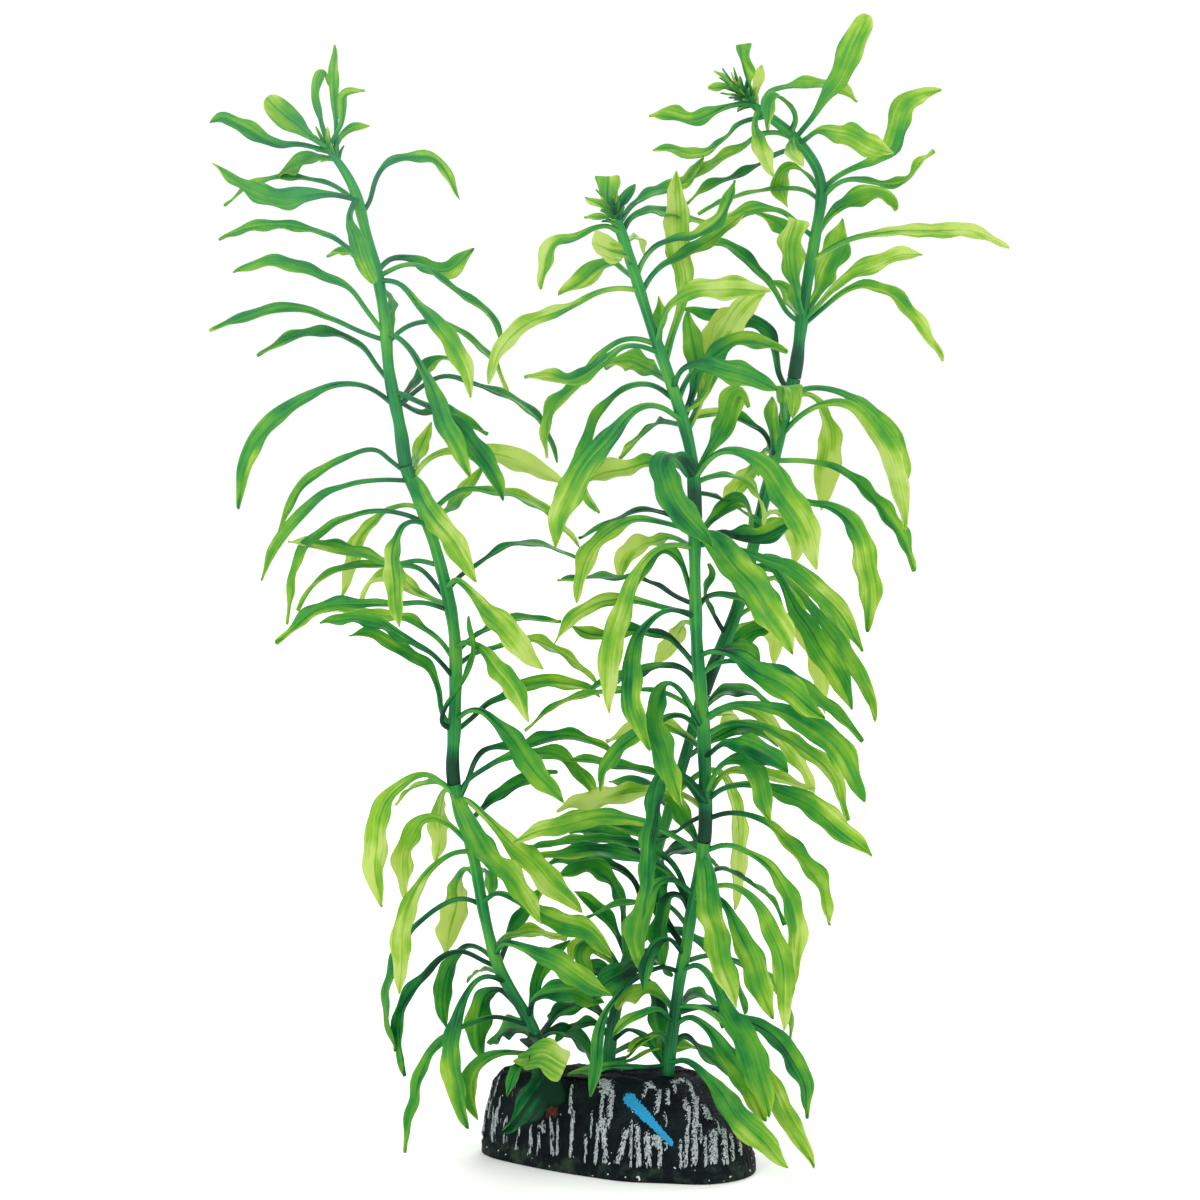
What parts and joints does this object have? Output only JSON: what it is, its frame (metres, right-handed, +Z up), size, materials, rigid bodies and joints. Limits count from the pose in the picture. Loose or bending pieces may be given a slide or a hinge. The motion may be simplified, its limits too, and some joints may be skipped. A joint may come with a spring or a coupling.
{
  "type": "potted heteranthera",
  "caption": "Moulded aquarium plant with leafy sprays of narrow, arching leaves on upright stems, standing in a ribbed stump-like foot.",
  "frame": {"origin": "middle of the foot's flat underside", "axes": "+Z up along the stems, -Y towards the front as pictured, +X to the right in that view"},
  "size_m": [0.2317, 0.0898, 0.3339],
  "materials": {
    "soft_leaf_plastic": "satin, slightly see-through",
    "painted_cast_stone": "matte, dry-brushed in grey"
  },
  "bodies": {
    "root": {"base": "painted_cast_stone", "left_lower_spray": "soft_leaf_plastic", "left_middle_spray": "soft_leaf_plastic", "left_top_spray": "soft_leaf_plastic", "front_lower_spray": "soft_leaf_plastic", "front_middle_spray": "soft_leaf_plastic", "front_top_spray": "soft_leaf_plastic", "back_lower_spray": "soft_leaf_plastic", "back_middle_spray": "soft_leaf_plastic", "back_top_spray": "soft_leaf_plastic"}
  },
  "joints": []
}
